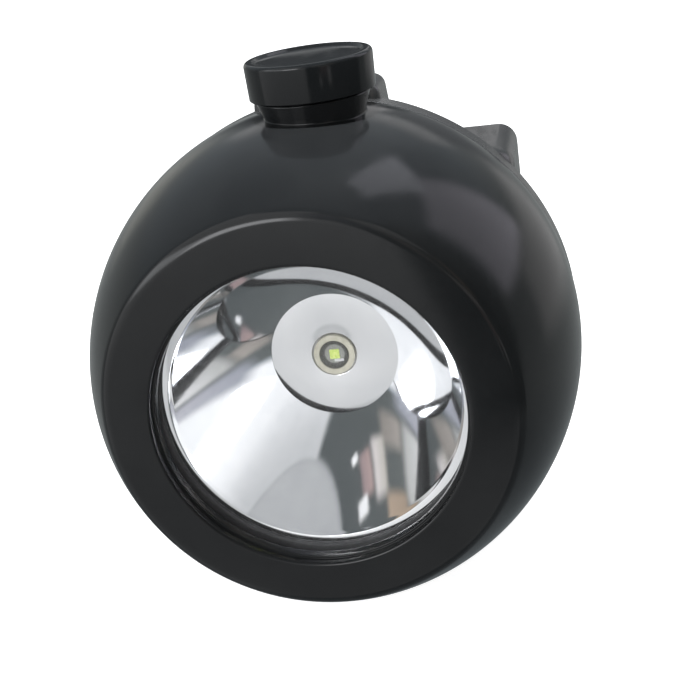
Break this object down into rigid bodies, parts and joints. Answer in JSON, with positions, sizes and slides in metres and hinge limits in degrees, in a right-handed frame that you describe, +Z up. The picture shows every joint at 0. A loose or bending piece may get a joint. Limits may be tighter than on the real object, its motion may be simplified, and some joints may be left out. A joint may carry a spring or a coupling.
{
  "type": "miner's cap lamp",
  "caption": "Cordless miner's cap lamp: round glossy shell, deep reflector with an LED, push button on top, square battery housing and a helmet clip behind.",
  "frame": {"origin": "middle of the battery housing's back face, on the beam axis", "axes": "+Y out of the back face towards the helmet, the beam points along -Y, +Z up through the push button"},
  "size_m": [0.0744, 0.0667, 0.0822],
  "materials": {
    "shell_black": "glossy moulding",
    "button_black": "satin moulding",
    "lens_clear": "clear, hard-coated",
    "seal_rubber": "matte",
    "reflector_mirror": "vacuum-metallised",
    "led_white": "matte",
    "led_phosphor": "matte",
    "led_silicone": "clear",
    "aluminium_plate": "machined",
    "board_green": "solder mask",
    "component_black": "matte",
    "steel": "brushed",
    "screw_steel": "zinc plated",
    "brass_contact": "nickel flashed",
    "cell_wrap": "printed film over an aluminium can",
    "foam": "closed-cell foam",
    "red_insulation": "silicone",
    "black_insulation": "silicone"
  },
  "bodies": {
    "body": {"front_shell": "shell_black", "lens": "lens_clear", "lens_seal": "seal_rubber", "reflector": "reflector_mirror", "led_disc": "reflector_mirror", "star_board": "aluminium_plate", "led_base": "led_white", "led_chip": "led_phosphor", "led_dome": "led_silicone", "heat_sink": "aluminium_plate", "heat_sink_screws": "screw_steel", "driver_board": "board_green", "driver_board_screws": "screw_steel", "driver_components": "component_black", "switch_board": "board_green", "push_switch": "component_black", "stem_seal": "seal_rubber", "button_spring": "steel", "body_gasket": "seal_rubber", "rear_shell": "shell_black", "case_screws": "screw_steel", "battery_cell": "cell_wrap", "battery_pad": "foam", "battery_retainer": "component_black", "retainer_screws": "screw_steel", "charge_contacts": "brass_contact", "contact_nuts": "brass_contact", "helmet_clip": "steel", "clip_screws": "screw_steel", "red_leads": "red_insulation", "black_leads": "black_insulation"},
    "button": {"button_cap": "button_black", "button_stem": "steel", "stem_clip": "steel", "switch_plunger": "led_white"}
  },
  "joints": [
    {"name": "button_press", "type": "slide", "parent": "body", "child": "button", "axis": [0, 0, -1], "range_m": [0, 0.0015], "stiffness_N_per_m": 600, "springref_m": -0.005, "deforming": ["button_spring"]}
  ]
}
